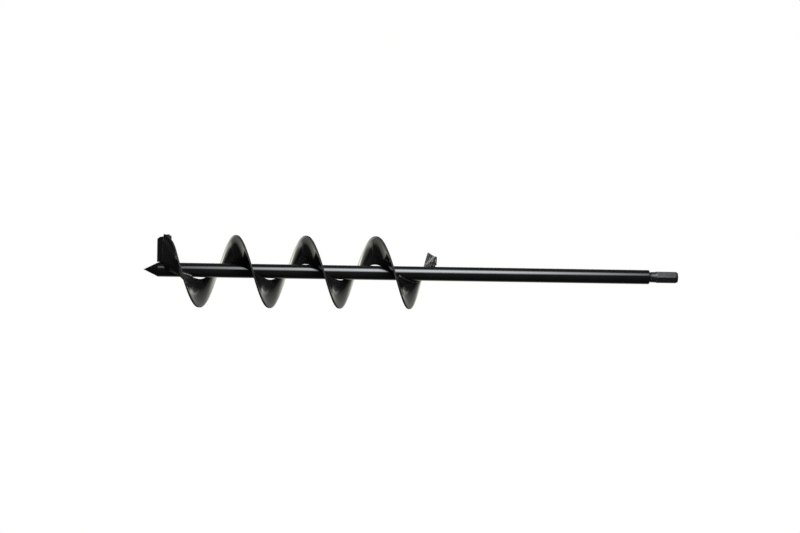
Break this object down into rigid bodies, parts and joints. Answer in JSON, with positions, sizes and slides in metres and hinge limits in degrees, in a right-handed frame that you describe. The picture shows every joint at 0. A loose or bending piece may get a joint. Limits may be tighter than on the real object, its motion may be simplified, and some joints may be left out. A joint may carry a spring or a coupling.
{
  "type": "drill-driven ice auger bit",
  "caption": "Screw auger bit with a cone tip, welded cutting blade, single right-hand flight on the leading part of a long tube shaft, and a hexagonal drill shank.",
  "frame": {"origin": "centre of the flat end face of the hexagonal shank", "axes": "+X along the shaft from the cone tip to the shank's end, +Z out of the broad side the tool is seen from, +Y across it; the flight's turn angle starts at +Y"},
  "size_m": [0.6, 0.0827, 0.0815],
  "materials": {
    "enamel": "gloss black enamel",
    "blade": "semi-gloss black enamel over hardened steel",
    "shank": "dark turned steel",
    "weld": "weld metal under black enamel"
  },
  "bodies": {
    "root": {"shaft_tube": "enamel", "tip_point": "enamel", "flight_section_1": "enamel", "flight_section_2": "enamel", "flight_section_3": "enamel", "flight_section_4": "enamel", "cutting_blade": "blade", "hex_shank": "shank", "shank_weld_ring": "weld", "section_seam_weld_1": "weld", "section_seam_weld_2": "weld", "section_seam_weld_3": "weld", "blade_edge_weld": "weld", "blade_rim_weld": "weld", "blade_trailing_weld": "weld", "blade_root_weld": "weld", "blade_back_root_weld": "weld", "flight_start_weld": "weld", "flight_root_weld_1": "weld", "flight_root_weld_2": "weld", "flight_root_weld_3": "weld", "flight_last_turn_weld": "weld", "flight_tail_weld": "weld"}
  },
  "joints": []
}
